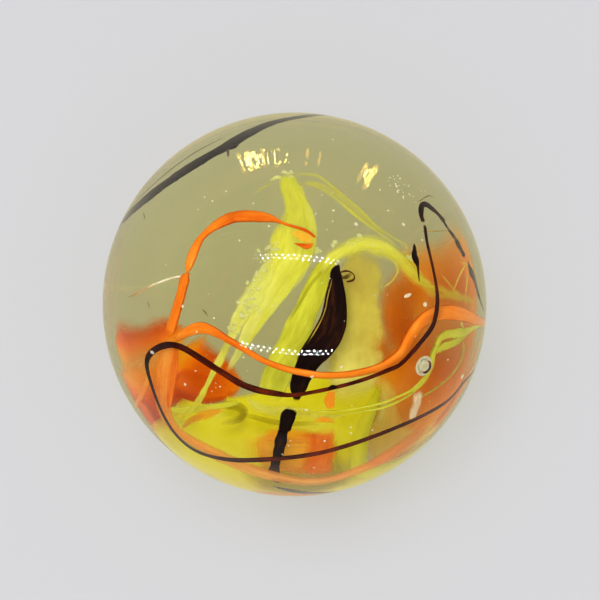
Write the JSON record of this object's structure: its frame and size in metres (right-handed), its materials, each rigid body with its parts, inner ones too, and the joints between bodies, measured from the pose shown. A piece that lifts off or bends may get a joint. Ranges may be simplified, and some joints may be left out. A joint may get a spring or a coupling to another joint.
{
  "type": "glass marble",
  "caption": "Playing marble: a ball of clear olive glass with looping threads and ribbons of dark, orange, yellow and cream glass inside it.",
  "frame": {"origin": "centre of the ball", "axes": "+Z points at the face shown in the picture, +X to the right of that face and +Y up on it"},
  "size_m": [0.016, 0.016, 0.016],
  "materials": {
    "clear_glass": "clear olive-tinted glass, fire-polished",
    "dark_glass": "near-black brown glass, drawn",
    "orange_glass": "translucent orange glass, drawn",
    "yellow_glass": "translucent lemon-yellow glass, drawn",
    "cream_glass": "milky cream glass, drawn"
  },
  "bodies": {
    "root": {"clear_glass": "clear_glass", "dark_thread": "dark_glass", "dark_top_band": "dark_glass", "dark_bottom_trace": "dark_glass", "dark_centre_ribbon": "dark_glass", "dark_lower_ribbon": "dark_glass", "dark_fleck": "dark_glass", "orange_hook_ribbon": "orange_glass", "orange_front_ribbon": "orange_glass", "orange_lower_ribbon": "orange_glass", "orange_hair_line": "orange_glass", "orange_left_lobe": "orange_glass", "orange_middle_lobe": "orange_glass", "orange_right_lobe": "orange_glass", "orange_bottom_lobe": "orange_glass", "orange_wisps": "orange_glass", "yellow_streamer": "yellow_glass", "yellow_centre_band": "yellow_glass", "yellow_arch": "yellow_glass", "yellow_veil": "yellow_glass", "yellow_upper_strands": "yellow_glass", "yellow_knotted_strand": "yellow_glass", "yellow_fine_loop": "yellow_glass", "yellow_pool": "yellow_glass", "yellow_pale_line": "yellow_glass", "tan_patch": "yellow_glass", "cream_smear": "cream_glass"}
  },
  "joints": []
}
